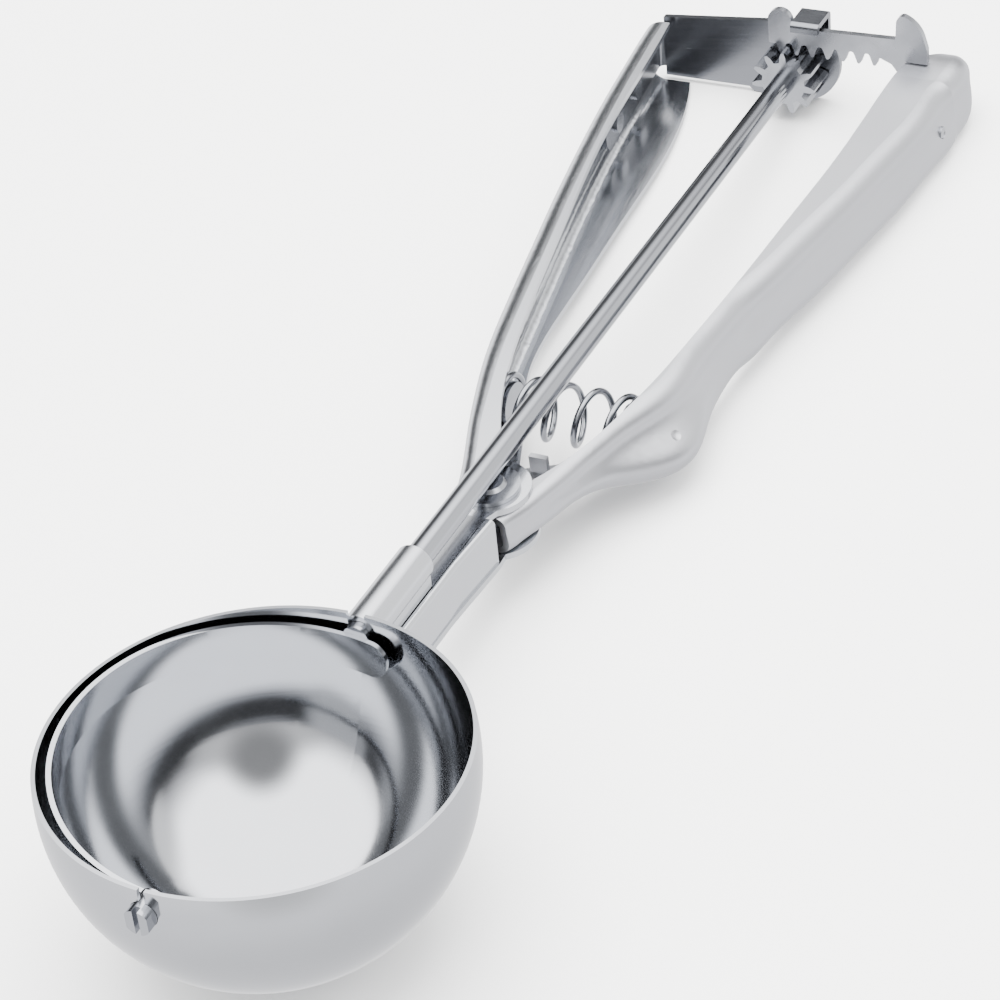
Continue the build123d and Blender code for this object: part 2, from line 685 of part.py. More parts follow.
def rack_outline():
    """Edges of the rack plate: stop tabs above, teeth below, a tongue into the lever."""
    x = RACK_X0

    def at(y, z):
        return Vector(x, y, z)

    left_tab = ((3.9, 11.1), (1.65, 12.9), (-0.55, 11.1))
    right_shoulder = ((-20.3, 13.3), (-20.75, 14.3), (-21.7, 14.7))
    right_slope = ((-21.7, 14.7), (-24.0, 13.2), (-25.3, 11.0))
    edges = [Edge.make_three_point_arc(*(at(*p) for p in left_tab))]
    top = ((-0.7, RACK_TOP_LEFT_Z), (-20.15, RACK_TOP_RIGHT_Z))
    edges += polyline_edges([at(*p) for p in (left_tab[2],) + top + (right_shoulder[0],)])
    edges.append(Edge.make_three_point_arc(*(at(*p) for p in right_shoulder)))
    edges.append(Edge.make_three_point_arc(*(at(*p) for p in right_slope)))
    foot = (
        right_slope[2],
        (-26.0, 8.6),
        (-26.0, 5.8),
        (-21.8, 5.8),
        (-21.8, 4.2),
        (-28.2, 4.2),
        (-31.0, 1.4),
        (-31.0, -3.4),
        (-28.4, -5.0),
        (-23.4, -5.0),
        (-21.3, 2.5),
        (-19.4, 5.0),
    )
    centre = (0.5 - RACK_TEETH) * TOOTH_PITCH + TOOTH_PITCH
    last = at(centre - RACK_ROOT_HALF, RACK_FLANK_TOP_Z)
    edges += polyline_edges([at(*p) for p in foot] + [last])
    for i in range(RACK_TEETH):
        low = at(centre - RACK_TIP_HALF, RACK_FLANK_LOW_Z)
        high = at(centre + RACK_TIP_HALF, RACK_FLANK_LOW_Z)
        edges.append(Edge.make_line(last, low))
        edges.append(Edge.make_three_point_arc(low, at(centre, RACK_TIP_Z), high))
        last = at(centre + RACK_ROOT_HALF, RACK_FLANK_TOP_Z)
        edges.append(Edge.make_line(high, last))
        gap = TOOTH_PITCH / 2
        if i < RACK_TEETH - 1:
            centre += TOOTH_PITCH
            next_root = at(centre - RACK_ROOT_HALF, RACK_FLANK_TOP_Z)
            middle = at(centre - gap, RACK_ROOT_Z)
            edges.append(Edge.make_three_point_arc(last, middle, next_root))
            last = next_root
    ends = [last, at(3.8, RACK_FLANK_TOP_Z + 0.2), at(*left_tab[0])]
    return edges + polyline_edges(ends)


def make_rack():
    """Toothed plate that crosses over the pinion, with a foot along the lever's web."""
    plate = extrude(Face(Wire(rack_outline())), amount=RACK_THICK, dir=(1, 0, 0))
    foot_edges = polyline_edges(
        (
            (RACK_X0 + RACK_THICK, -31.0),
            (FOOT_X, -30.1),
            (FOOT_X, -29.0),
            (RACK_X0 + 0.1, -29.9),
            (RACK_X0 + RACK_THICK, -29.9),
            (RACK_X0 + RACK_THICK, -31.0),
        )
    )
    rack = plate + plan_region(foot_edges, -3.4, 0.9)
    return rack - rack_rivet_hole()


def rack_rivet_hole():
    """Hole for the rack's rivet, through the lever's web and the rack's foot."""
    return along_y(RACK_RIVET_R + FIXED_GAP, -40, -25, RACK_RIVET_X, mid_z(RACK_RIVET_X))


def make_rack_rivet():
    """Rivet that holds the rack's foot to the lever's web."""
    z = mid_z(RACK_RIVET_X)
    inner = RACK_RIVET_INNER_Y
    rivet = along_y(RACK_RIVET_R, RACK_RIVET_OUTER_Y, inner, RACK_RIVET_X, z)
    head = along_y(RACK_RIVET_HEAD_R, inner - 0.1, inner + RACK_RIVET_HEAD - 0.1, RACK_RIVET_X, z)
    return rivet + head


# ---- end bracket ----


def make_end_bracket():
    """Bracket across the handle ends: leg in the fixed handle, crossbar, guide over the rack."""
    x0 = BRACKET_X
    x1 = BRACKET_X + BRACKET_THICK
    low = [Vector(x0, *p) for p in CROSSBAR_LOW_EDGE]
    top = [Vector(x0, *p) for p in CROSSBAR_TOP_EDGE]
    edges = polyline_edges(low)
    edges.append(Edge.make_three_point_arc(low[-1], (x0, *CROSSBAR_NOSE), top[0]))
    edges += polyline_edges(top + low[:1])
    bracket = extrude(Face(Wire(edges)), amount=BRACKET_THICK, dir=(1, 0, 0))
    bracket += bracket_leg()
    bracket += bracket_guide()
    bracket -= along_x(BORE_R, x0 - 1, x1 + 1)
    for x in BRACKET_RIVETS_X:
        bracket -= across_leg(x, BRACKET_RIVET_R + FIXED_GAP, -5, 1)
    return bracket


def bracket_leg():
    """Leg of the bracket with its rounded bend, along the inside of the handle's web."""
    x1 = BRACKET_X + BRACKET_THICK
    outer = BRACKET_BEND_R
    inner = BRACKET_BEND_R - BRACKET_THICK
    bend_y = BRACKET_BEND_Y
    bend_x = x1 - outer
    half = sqrt(0.5)
    centre = Vector(bend_x, bend_y)
    leg_y = leg_face_y(bend_x)
    back_y = leg_face_y(BRACKET_LEG_X)
    edges = [
        Edge.make_line((x1, bend_y - 0.5), (x1, bend_y)),
        Edge.make_three_point_arc(
            (x1, bend_y), centre + Vector(outer * half, outer * half), (bend_x, leg_y)
        ),
        Edge.make_line((bend_x, leg_y), (BRACKET_LEG_X, back_y)),
        Edge.make_line((BRACKET_LEG_X, back_y), (BRACKET_LEG_X, back_y - BRACKET_THICK)),
        Edge.make_line(
            (BRACKET_LEG_X, back_y - BRACKET_THICK), (bend_x, leg_y - BRACKET_THICK)
        ),
        Edge.make_three_point_arc(
            (bend_x, leg_y - BRACKET_THICK),
            centre + Vector(inner * half, inner * half),
            (bend_x + inner, bend_y),
        ),
        Edge.make_line((bend_x + inner, bend_y), (bend_x + inner, bend_y - 0.5)),
        Edge.make_line((bend_x + inner, bend_y - 0.5), (x1, bend_y - 0.5)),
    ]
    slab = in_handle_plane() * block(80, 150, 0, 60, -BRACKET_LEG_HALF, BRACKET_LEG_HALF)
    leg = plan_region(edges, -20, 20) & slab
    tips = [e for e in leg.edges().filter_by(Axis.Y) if e.center().X < BRACKET_LEG_X + 0.01]
    return fillet(tips, BRACKET_LEG_HALF - 0.4)


def bracket_guide():
    """Inverted U folded over the rack from the crossbar's upper edge."""
    x1 = BRACKET_X + BRACKET_THICK
    profile = (
        (x1, 7.5),
        (x1, GUIDE_TOP_Z),
        (GUIDE_FRONT_X, GUIDE_TOP_Z),
        (GUIDE_FRONT_X, GUIDE_LIP_Z),
        (GUIDE_FRONT_X + 1, GUIDE_LIP_Z),
        (GUIDE_FRONT_X + 1, GUIDE_TOP_Z - 1),
        (BRACKET_X, GUIDE_TOP_Z - 1),
        (BRACKET_X, 7.5),
        (x1, 7.5),
    )
    points = [Vector(x, GUIDE_Y0, z) for x, z in profile]
    face = Face(Wire(polyline_edges(points)))
    guide = extrude(face, amount=GUIDE_Y1 - GUIDE_Y0, dir=(0, 1, 0))
    bends = guide.edges().filter_by(Axis.Y)
    outer = [e for e in bends if e.center().Z > GUIDE_TOP_Z - 0.1]
    return fillet(outer, 0.9)


def make_bracket_rivets():
    """Two rivets through the bracket's leg and the fixed handle's web."""
    rivets = []
    for x in BRACKET_RIVETS_X:
        inside = -BRACKET_THICK - 0.01
        rivet = across_leg(x, BRACKET_RIVET_R, inside, BRACKET_RIVET_TIP)
        rivet += across_leg(x, BRACKET_RIVET_HEAD_R, inside - BRACKET_RIVET_HEAD, inside)
        rivets.append(rivet)
    return Compound(children=[Part(r.wrapped) for r in rivets])


def make_end_washer():
    """Washer peened on the shaft's end, behind the bracket."""
    x0 = BRACKET_X + BRACKET_THICK + END_WASHER_GAP
    x1 = x0 + END_WASHER_THICK
    return along_x(END_WASHER_R, x0, x1) - along_x(SHAFT_R + FIXED_GAP, x0 - 1, x1 + 1)


def build_nodes():
    """Every separate piece of the scoop, by name."""
    return {
        "bowl": make_bowl(),
        "frame_pressing": make_frame_pressing(),
        "neck_cover": make_neck_cover(),
        "end_bracket": make_end_bracket(),
        "bracket_rivets": make_bracket_rivets(),
        "pivot_rivet": make_pivot_rivet(),
        "pivot_washer_upper": make_washer(WASHER_UPPER_R, HALF_HEIGHT + WASHER_GAP),
        "pivot_washer_lower": make_washer(WASHER_LOWER_R, WASHER_LOW),
        "spring": make_spring(),
        "spring_seat_fixed": make_fixed_seat(),
        "lever_pressing": make_lever_pressing(),
        "spring_seat_lever": make_lever_seat(),
        "rack": make_rack(),
        "rack_rivet": make_rack_rivet(),
        "shaft": make_shaft(),
        "pinion": make_pinion(),
        "blade": make_blade(),
        "blade_front_stud": make_blade_front_stud(),
        "shaft_end_washer": make_end_washer(),
    }


def resting_angle():
    """Angle that lays the bowl and the handle ends on one level surface."""
    end_x = FIXED_STATIONS[-1][0]
    end_z = level(end_x, -HALF_HEIGHT)
    reach = hypot(end_x, end_z)
    return degrees(asin(BOWL_R / reach) - atan2(-end_z, end_x))


def main():
    turned = Rot(0, resting_angle(), 0)
    nodes = {name: turned * shape for name, shape in build_nodes().items()}
    box = Compound(children=[Part(s.wrapped) for s in nodes.values()]).bounding_box()
    shift = Pos(-(box.min.X + box.max.X) / 2, -(box.min.Y + box.max.Y) / 2, -box.min.Z)
    print("resting angle", resting_angle(), "shift", shift.position)
    for name, shape in nodes.items():
        export_step(shift * shape, f"parts/{name}.step")


if __name__ == "__main__":
    main()
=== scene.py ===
import json
import math

import bmesh
import bpy
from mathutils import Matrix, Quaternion, Vector


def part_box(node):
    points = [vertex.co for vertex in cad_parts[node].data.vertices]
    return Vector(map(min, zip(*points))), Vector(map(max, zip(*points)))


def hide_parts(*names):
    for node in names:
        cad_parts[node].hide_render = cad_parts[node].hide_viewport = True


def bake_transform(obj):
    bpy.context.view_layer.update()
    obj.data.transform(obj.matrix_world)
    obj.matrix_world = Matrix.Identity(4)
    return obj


bl_info = {
    "name": "Lever Ice Cream Scoop",
    "version": (1, 0, 0),
    "blender": (4, 5, 0),
    "location": "View3D > Sidebar > Scoop",
    "description": "Finishes for a lever ice cream scoop and the studio it lies in",
    "category": "Object",
}

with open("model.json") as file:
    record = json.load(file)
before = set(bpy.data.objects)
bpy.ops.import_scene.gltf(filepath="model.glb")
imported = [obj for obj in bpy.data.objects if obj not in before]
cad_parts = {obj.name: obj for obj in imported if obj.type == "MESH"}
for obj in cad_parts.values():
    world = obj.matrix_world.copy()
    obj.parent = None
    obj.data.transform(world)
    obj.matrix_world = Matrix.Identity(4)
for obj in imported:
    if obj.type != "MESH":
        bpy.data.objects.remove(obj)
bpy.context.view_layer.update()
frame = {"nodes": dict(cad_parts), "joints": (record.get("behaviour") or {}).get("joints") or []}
NODES = frame["nodes"]

MM = 0.001
SPIN = next(j for j in frame["joints"] if j["name"] == "shaft_spin")

# The shaft's line, which the bowl's middle lies on; its tilt also turns the grinding lines
SHAFT_LINE = Vector(SPIN["axis"]).normalized()
SHAFT_TILT = math.atan2(-SHAFT_LINE.z, SHAFT_LINE.x)
SHAFT_POINT = Vector(SPIN["pos_m"])
BOWL_LOW, BOWL_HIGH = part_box("bowl")
BOWL_REACH = (BOWL_LOW.x + BOWL_HIGH.x) / 2 - SHAFT_POINT.x
BOWL_CENTRE = SHAFT_POINT + SHAFT_LINE * (BOWL_REACH / SHAFT_LINE.x)

# How far a finish's grain stands up at full strength
RELIEF = 0.02 * MM

# How wide the smudges of handling are, in the bowl and on the ground sheets
BOWL_SMUDGE = 9 * MM
SHEET_SMUDGE = 12 * MM

# How far apart the fibres of the floor's card are drawn, and its colour's share between them
CARD_FIBRES = 4 * MM
CARD_MOTTLE = 0.985

# How near two corners of the spring's skin are when they are one, and the angle from which
# an edge of the wire is sharp
WELD = 0.002 * MM
CREASE = math.radians(40)

# How bright the room is, from straight down (0) over level (0.5) to overhead (1). The pale lower
# half stands for the floor in the steel's mirror images, and the dark belt above level gives the
# steel its dark edges.
ROOM_SHADES = (
    (0.0, 0.7),
    (0.2, 0.88),
    (0.42, 1.2),
    (0.5, 0.4),
    (0.56, 0.06),
    (0.69, 0.08),
    (0.78, 0.85),
    (1.0, 0.95),
)
ROOM_BLUE = 1.02

# Round cards that hang about the scoop: way to the card, half widths of its even middle and of
# the whole in degrees, and its brightness. The first is the large bright ceiling, the second the
# grey wall behind the camera, the third lights the lever's fold, and the last, a dark one, gives
# the bowl its dark ring.
CARDS = (
    ((0.0, 0.0, 1.0), 46, 60, 2.5),
    ((-0.8, -0.55, 0.15), 30, 50, 0.6),
    ((0.64, -0.72, 0.2), 18, 34, 0.9),
    ((-0.60, -0.42, 0.66), 6, 25, 0.24),
)

# The lamps, in metres
LIT_POINT = (-0.01, 0.0, 0.01)
OVERHEAD_PLACE = (0.1, 0.05, 1.0)
OVERHEAD_WIDTH = 1.1
SIDE_PLACE = (0.2, -0.9, 0.6)
SIDE_WIDTH = 0.8

# The camera's sensor in millimetres, and the nearest it sees in metres
SENSOR_WIDTH = 36
NEAREST_SEEN = 0.01


def srgb(code):
    """Linear colour of an sRGB hex value."""
    channels = [int(code[i : i + 2], 16) / 255 for i in (1, 3, 5)]
    return tuple(c / 12.92 if c <= 0.04045 else ((c + 0.055) / 1.055) ** 2.4 for c in channels)


def add(tree, kind, inputs=None, **settings):
    """Add one node; each input is a value or the socket that feeds it."""
    made = tree.nodes.new(kind)
    for name, value in settings.items():
        setattr(made, name, value)
    for name, value in (inputs or {}).items():
        if isinstance(value, bpy.types.NodeSocket):
            tree.links.new(value, made.inputs[name])
        else:
            made.inputs[name].default_value = value
    return made


class ScoopFinishes(bpy.types.PropertyGroup):
    """Colours and grain sizes of the scoop's steels."""

    bowl_colour: bpy.props.FloatVectorProperty(
        name="Bowl Steel",
        description="Colour of the mirror polished stainless steel",
        subtype="COLOR",
        size=3,
        min=0,
        max=1,
        default=srgb("#B6B8BC"),
    )
    handle_colour: bpy.props.FloatVectorProperty(
        name="Handle Steel",
        description="Colour of the bright ground sheet of the neck and fixed handle",
        subtype="COLOR",
        size=3,
        min=0,
        max=1,
        default=srgb("#C6C8CC"),
    )
    bracket_colour: bpy.props.FloatVectorProperty(
        name="Bracket Steel",
        description="Colour of the greyer strip of the end bracket",
        subtype="COLOR",
        size=3,
        min=0,
        max=1,
        default=srgb("#818388"),
    )
    lever_colour: bpy.props.FloatVectorProperty(
        name="Lever Steel",
        description="Colour of the satin sheet of the lever",
        subtype="COLOR",
        size=3,
        min=0,
        max=1,
        default=srgb("#BABBBF"),
    )
    drive_colour: bpy.props.FloatVectorProperty(
        name="Drive Steel",
        description="Colour of the drawn shaft, the pinion and the rack",
        subtype="COLOR",
        size=3,
        min=0,
        max=1,
        default=srgb("#A2A4A9"),
    )
    spring_colour: bpy.props.FloatVectorProperty(
        name="Spring Wire",
        description="Colour of the drawn spring wire",
        subtype="COLOR",
        size=3,
        min=0,
        max=1,
        default=srgb("#96989D"),
    )
    spun_ring: bpy.props.FloatProperty(
        name="Spun Ring Spacing",
        description="Distance between the polishing rings in the bowl",
        subtype="DISTANCE",
        unit="LENGTH",
        default=0.7 * MM,
    )
    brush_width: bpy.props.FloatProperty(
        name="Brush Line Width",
        description="Width of a grinding line on the handles",
        subtype="DISTANCE",
        unit="LENGTH",
        default=0.35 * MM,
    )
    brush_length: bpy.props.FloatProperty(
        name="Brush Line Length",
        description="Length of a grinding line on the handles",
        subtype="DISTANCE",
        unit="LENGTH",
        default=14 * MM,
    )


class ScoopStudio(bpy.types.PropertyGroup):
    """Floor, lights and camera."""

    floor_colour: bpy.props.FloatVectorProperty(
        name="Floor",
        description="Colour of the pale floor",
        subtype="COLOR",
        size=3,
        min=0,
        max=1,
        default=srgb("#F5F5F4"),
    )
    floor_size: bpy.props.FloatProperty(
        name="Floor Size",
        description="Side of the square floor",
        subtype="DISTANCE",
        unit="LENGTH",
        default=6.0,
    )
    key_power: bpy.props.FloatProperty(
        name="Overhead Light",
        description="Power of the large soft light overhead, in watts",
        subtype="POWER",
        unit="POWER",
        default=31.0,
    )
    side_power: bpy.props.FloatProperty(
        name="Side Light",
        description="Power of the soft light at the side, in watts",
        subtype="POWER",
        unit="POWER",
        default=7.0,
    )
    sky_strength: bpy.props.FloatProperty(
        name="Room Light",
        description="Strength of the light of the pale room and its cards",
        default=2.3,
    )
    camera_place: bpy.props.FloatVectorProperty(
        name="Camera Place",
        description="Where the camera stands",
        subtype="TRANSLATION",
        unit="LENGTH",
        size=3,
        default=(-0.30667, -0.17416, 0.31306),
    )
    camera_aim: bpy.props.FloatVectorProperty(
        name="Camera Aim",
        description="The point that the camera looks at",
        subtype="TRANSLATION",
        unit="LENGTH",
        size=3,
        default=(-0.00708, 0.00673, 0.00488),
    )
    camera_roll: bpy.props.FloatProperty(
        name="Camera Roll",
        description="How far the camera is rolled about its line of sight",
        subtype="ANGLE",
        unit="ROTATION",
        default=math.radians(-10.06),
    )
    camera_lens: bpy.props.FloatProperty(
        name="Lens",
        description="Focal length of the camera's lens, in millimetres",
        default=106.7,
    )


def new_material(name):
    """Empty material with an output, and its tree."""
    material = bpy.data.materials.new(name)
    material.use_nodes = True
    tree = material.node_tree
    tree.nodes.clear()
    return material, tree


def finish_steel(tree, colour, *, shade, smudge, roughness, pattern, height, depth):
    """Join a steel's smudged tint, its rough and smooth patches and its fine relief.

    The tint goes down to shade times the colour where smudge is low, the roughness runs between
    its two values with pattern, and the relief follows height as strongly as depth says.
    """
    darker = tuple(c * shade for c in colour)
    tint = add(
        tree,
        "ShaderNodeMix",
        {"Factor": smudge, "A": (*darker, 1.0), "B": (*colour, 1.0)},
        data_type="RGBA",
    )
    rough = add(
        tree,
        "ShaderNodeMapRange",
        {"Value": pattern, "To Min": roughness[0], "To Max": roughness[1]},
    )
    relief = add(
        tree,
        "ShaderNodeBump",
        {"Height": height, "Strength": depth, "Distance": RELIEF},
    )
    steel = add(
        tree,
        "ShaderNodeBsdfPrincipled",
        {
            "Base Color": tint.outputs["Result"],
            "Roughness": rough.outputs["Result"],
            "Normal": relief.outputs["Normal"],
            "Metallic": 1.0,
        },
    )
    add(tree, "ShaderNodeOutputMaterial", {"Surface": steel.outputs["BSDF"]})


def spun_polished_stainless(name, colour, ring):
    """Stainless steel, spun and buffed: near mirror, with faint rings that soften the highlights."""
    material, tree = new_material(name)
    place = add(tree, "ShaderNodeTexCoord")
    local = add(
        tree,
        "ShaderNodeMapping",
        {
            "Vector": place.outputs["Object"],
            "Location": BOWL_CENTRE,
            "Rotation": (0, SHAFT_TILT, 0),
        },
        vector_type="TEXTURE",
    )
    split = add(tree, "ShaderNodeSeparateXYZ", {"Vector": local.outputs["Vector"]})
    flat = add(
        tree,
        "ShaderNodeCombineXYZ",
        {"X": split.outputs["X"], "Y": split.outputs["Y"]},
    )
    radius = add(
        tree,
        "ShaderNodeVectorMath",
        {"Vector": flat.outputs["Vector"]},
        operation="LENGTH",
    )
    around = add(
        tree,
        "ShaderNodeCombineXYZ",
        {"X": radius.outputs["Value"], "Y": split.outputs["Z"]},
    )
    # Real polishing rings are about 0.1 mm apart; they are drawn coarser so that they show
    rings = add(
        tree,
        "ShaderNodeTexNoise",
        {"Vector": around.outputs["Vector"], "Scale": 1 / ring, "Detail": 3.0},
    )
    clouds = add(
        tree,
        "ShaderNodeTexNoise",
        {"Vector": local.outputs["Vector"], "Scale": 1 / BOWL_SMUDGE, "Detail": 4.0},
    )
    finish_steel(
        tree,
        colour,
        shade=0.93,
        smudge=clouds.outputs["Fac"],
        roughness=(0.05, 0.15),
        pattern=clouds.outputs["Fac"],
        height=rings.outputs["Fac"],
        depth=0.12,
    )
    return material


def ground_stainless(name, colour, *, roughness, width, length, depth, turn=0.0):
    """Steel ground or drawn in one direction: soft streaks that widen the highlights across them.

    The lines run along the shaft, or at the angle turn to it.
    """
    material, tree = new_material(name)
    place = add(tree, "ShaderNodeTexCoord")
    along = add(
        tree,
        "ShaderNodeMapping",
        {
            "Vector": place.outputs["Object"],
            "Rotation": (0, SHAFT_TILT, turn),
            "Scale": (length, width, width),
        },
        vector_type="TEXTURE",
    )
    # Real grinding lines are about 0.05 mm wide; they are drawn wider so that they show
    lines = add(
        tree,
        "ShaderNodeTexNoise",
        {"Vector": along.outputs["Vector"], "Scale": 1.0, "Detail": 4.0, "Roughness": 0.6},
    )
    clouds = add(
        tree,
        "ShaderNodeTexNoise",
        {"Vector": place.outputs["Object"], "Scale": 1 / SHEET_SMUDGE, "Detail": 3.0},
    )
    finish_steel(
        tree,
        colour,
        shade=0.94,
        smudge=clouds.outputs["Fac"],
        roughness=roughness,
        pattern=lines.outputs["Fac"],
        height=lines.outputs["Fac"],
        depth=depth,
    )
    return material


def blanked_steel(name, colour, *, roughness, grain, depth):
    """Steel blanked and tumbled: small dull pits between smooth spots, with worn bright patches."""
    material, tree = new_material(name)
    place = add(tree, "ShaderNodeTexCoord")
    pits = add(
        tree,
        "ShaderNodeTexNoise",
        {
            "Vector": place.outputs["Object"],
            "Scale": 1 / grain,
            "Detail": 5.0,
            "Roughness": 0.65,
        },
    )
    patches = add(
        tree,
        "ShaderNodeTexVoronoi",
        {"Vector": place.outputs["Object"], "Scale": 1 / (2.5 * grain)},
        feature="SMOOTH_F1",
    )
    finish_steel(
        tree,
        colour,
        shade=0.88,
        smudge=pits.outputs["Fac"],
        roughness=roughness,
        pattern=patches.outputs["Distance"],
        height=pits.outputs["Fac"],
        depth=depth,
    )
    return material


def paint(material, *names):
    """Give CAD nodes their finish."""
    for name in names:
        for place in NODES[name].material_slots:
            place.material = material


class SCOOP_OT_bowl_finish(bpy.types.Operator):
    """Buffed, spun steel for the bowl and its scraper blade"""

    bl_idname = "scoop.bowl_finish"
    bl_label = "Bowl and Blade"

    def execute(self, context):
        finishes = context.scene.scoop_finishes
        colour = tuple(finishes.bowl_colour)
        ring = finishes.spun_ring
        # Spun and buffed on the lathe: a mirror that bends the room into rings
        bowl = spun_polished_stainless("spun_polished_stainless", colour, ring)
        paint(bowl, "bowl")
        # Buffed by hand: as bright as the bowl, with broader and calmer waves
        blade = spun_polished_stainless("buffed_blade_stainless", colour, 2 * ring)
        paint(blade, "blade")
        return {"FINISHED"}


class SCOOP_OT_frame_finish(bpy.types.Operator):
    """Ground steel for the neck, the fixed handle and the end bracket"""

    bl_idname = "scoop.frame_finish"
    bl_label = "Neck and Fixed Handle"

    def execute(self, context):
        finishes = context.scene.scoop_finishes
        colour = tuple(finishes.handle_colour)
        width = finishes.brush_width
        length = finishes.brush_length
        # Bright ground sheet: clear but soft images, with streaks along the handle
        sheet = ground_stainless(
            "ground_handle_stainless",
            colour,
            roughness=(0.12, 0.26),
            width=width,
            length=length,
            depth=0.12,
            turn=math.radians(8),
        )
        paint(sheet, "frame_pressing", "neck_cover")
        # Rolled strip: greyer and duller, with streaks along the crossbar
        strip = ground_stainless(
            "ground_strip_stainless",
            tuple(finishes.bracket_colour),
            roughness=(0.16, 0.32),
            width=width,
            length=length,
            depth=0.15,
            turn=math.radians(90),
        )
        paint(strip, "end_bracket")
        return {"FINISHED"}


class SCOOP_OT_lever_finish(bpy.types.Operator):
    """Fine satin steel for the lever"""

    bl_idname = "scoop.lever_finish"
    bl_label = "Lever"

    def execute(self, context):
        finishes = context.scene.scoop_finishes
        # Fine satin: a pale, even sheen with soft edges to its lights, and no clear images
        satin = ground_stainless(
            "satin_lever_stainless",
            tuple(finishes.lever_colour),
            roughness=(0.34, 0.46),
            width=finishes.brush_width,
            length=finishes.brush_length,
            depth=0.08,
            turn=math.radians(-9),
        )
        paint(satin, "lever_pressing")
        return {"FINISHED"}


class SCOOP_OT_drive_finish(bpy.types.Operator):
    """Drawn steel for the shaft and blanked steel for the teeth"""

    bl_idname = "scoop.drive_finish"
    bl_label = "Shaft, Pinion and Rack"

    def execute(self, context):
        finishes = context.scene.scoop_finishes
        colour = tuple(finishes.drive_colour)
        # Drawn through a die: bright, with long faint lines along the rod
        drawn = ground_stainless(
            "drawn_bright_steel",
            colour,
            roughness=(0.08, 0.2),
            width=0.3 * MM,
            length=40 * MM,
            depth=0.15,
        )
        paint(drawn, "shaft", "blade_front_stud")
        # Cut teeth: small bright and dull spots side by side, as cutters and wear leave them
        cut = blanked_steel(
            "cut_pinion_steel", colour, roughness=(0.12, 0.34), grain=0.9 * MM, depth=0.4
        )
        paint(cut, "pinion", "shaft_end_washer")
        # Blanked plate: duller, with a slightly coarser grain from the press and the tumbler
        stamped = blanked_steel(
            "blanked_rack_steel", colour, roughness=(0.18, 0.4), grain=1.2 * MM, depth=0.4
        )
        paint(stamped, "rack")
        return {"FINISHED"}


class SCOOP_OT_fastener_finish(bpy.types.Operator):
    """Tumbled steel for the rivets, washers and spring seats"""

    bl_idname = "scoop.fastener_finish"
    bl_label = "Rivets and Washers"

    def execute(self, context):
        finishes = context.scene.scoop_finishes
        colour = tuple(finishes.drive_colour)
        # Tumbled after heading: bright, with a fine pitted grain and rounded lights
        tumbled = blanked_steel(
            "tumbled_rivet_steel", colour, roughness=(0.12, 0.3), grain=0.8 * MM, depth=0.35
        )
        paint(
            tumbled,
            "pivot_rivet",
            "pivot_washer_upper",
            "pivot_washer_lower",
            "bracket_rivets",
            "rack_rivet",
            "spring_seat_fixed",
            "spring_seat_lever",
        )
        return {"FINISHED"}


class SCOOP_OT_spring(bpy.types.Operator):
    """Return spring of drawn wire between its seats, as a smooth copy of the CAD spring"""

    bl_idname = "scoop.spring"
    bl_label = "Spring"

    def execute(self, context):
        finishes = context.scene.scoop_finishes
        # Drawn wire: dark and bright lines round each turn, with very small dull spots
        wire = blanked_steel(
            "drawn_spring_wire",
            tuple(finishes.spring_colour),
            roughness=(0.1, 0.24),
            grain=0.7 * MM,
            depth=0.2,
        )
        coil = self.copy_coil()
        coil.data.materials.clear()
        coil.data.materials.append(wire)
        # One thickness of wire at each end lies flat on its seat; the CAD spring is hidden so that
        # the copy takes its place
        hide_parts("spring")
        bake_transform(coil)
        return {"FINISHED"}

    def copy_coil(self):
        """The spring's own coil as one joined skin, smooth but for the cut ends of its wire."""
        shape = bmesh.new()
        shape.from_mesh(NODES["spring"].data)
        bmesh.ops.remove_doubles(shape, verts=shape.verts, dist=WELD)
        mesh = bpy.data.meshes.new("return_spring")
        shape.to_mesh(mesh)
        shape.free()
        if "custom_normal" in mesh.attributes:
            mesh.attributes.remove(mesh.attributes["custom_normal"])
        mesh.shade_smooth()
        mesh.set_sharp_from_angle(angle=CREASE)
        coil = bpy.data.objects.new("return_spring", mesh)
        bpy.context.scene.collection.objects.link(coil)
        return coil


def soft_light(name, power, place, width):
    """Round area light that faces the scoop and isn't seen in the steel."""
    lamp = bpy.data.lights.new(name, "AREA")
    lamp.energy = power
    lamp.shape = "DISK"
    lamp.size = width
    holder = bpy.data.objects.new(name, lamp)
    bpy.context.scene.collection.objects.link(holder)
    holder.visible_glossy = False
    holder.location = place
    beam = Vector(LIT_POINT) - Vector(place)
    holder.rotation_euler = beam.to_track_quat("-Z", "Y").to_euler()


